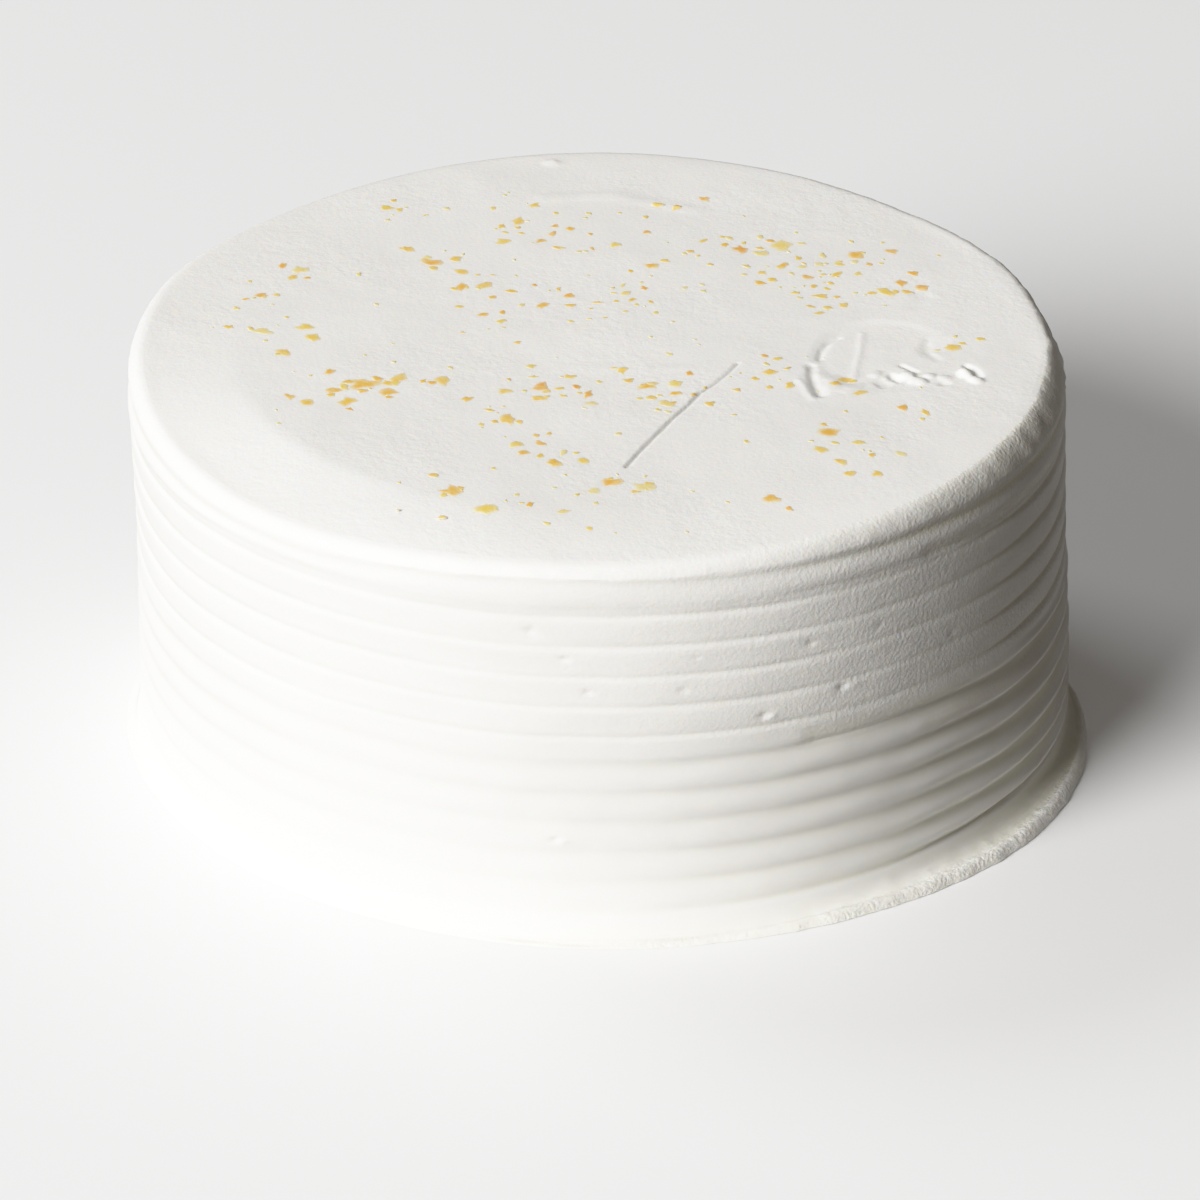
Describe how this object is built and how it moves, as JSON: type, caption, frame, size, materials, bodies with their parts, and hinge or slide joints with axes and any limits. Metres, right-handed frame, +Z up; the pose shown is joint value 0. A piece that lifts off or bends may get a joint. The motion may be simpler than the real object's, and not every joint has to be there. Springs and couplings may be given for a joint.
{
  "type": "iced cake",
  "caption": "Round uncut cake covered in white icing, its side combed into rings, with an uneven spread foot and small golden flakes scattered over a flat top.",
  "frame": {"origin": "centre of the footprint, on the surface that the cake stands on", "axes": "+Z up along the cake's height; the front shown in the picture faces -Y, and +X is to its right"},
  "size_m": [0.2132, 0.2114, 0.0919],
  "materials": {
    "icing": "soft matte white icing, smooth on the side and finely rough on top",
    "flakes": "satin golden-orange flakes"
  },
  "bodies": {
    "root": {"cake": "icing"}
  },
  "joints": []
}
